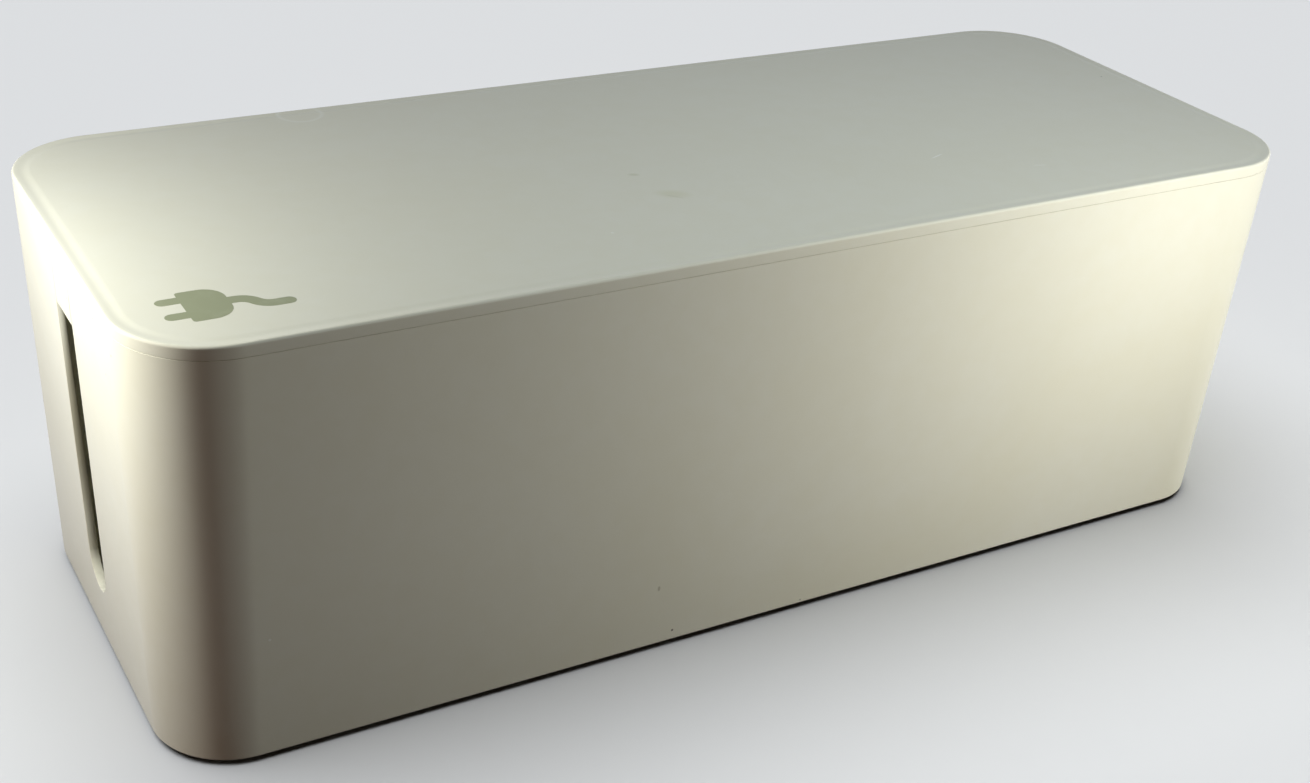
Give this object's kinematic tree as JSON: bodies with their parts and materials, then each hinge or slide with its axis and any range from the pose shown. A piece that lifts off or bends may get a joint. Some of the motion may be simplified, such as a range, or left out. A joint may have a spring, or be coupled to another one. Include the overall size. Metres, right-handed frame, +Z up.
{
  "type": "cable management box",
  "caption": "Long rounded box with drafted walls that hides a power strip and its cables, with a tall cable slot in each end, a lift-off lid and rubber feet.",
  "frame": {"origin": "on the table, under the middle of the box, at the underside of the feet", "axes": "+X along the box's length, +Y from the front long side to the rear one, +Z up through the lid"},
  "size_m": [0.4, 0.155, 0.135],
  "materials": {
    "tub_plastic": "satin moulded plastic, aged ivory",
    "lid_plastic": "satin moulded plastic, aged ivory",
    "foot_rubber": "matt rubber"
  },
  "bodies": {
    "tub": {"tub": "tub_plastic", "foot_front_left": "foot_rubber", "foot_front_right": "foot_rubber", "foot_rear_left": "foot_rubber", "foot_rear_right": "foot_rubber"},
    "lid": {"lid": "lid_plastic"}
  },
  "joints": [
    {"name": "lid_lift", "type": "slide", "parent": "tub", "child": "lid", "axis": [0, 0, 1], "range_m": [0, 0.15]}
  ]
}
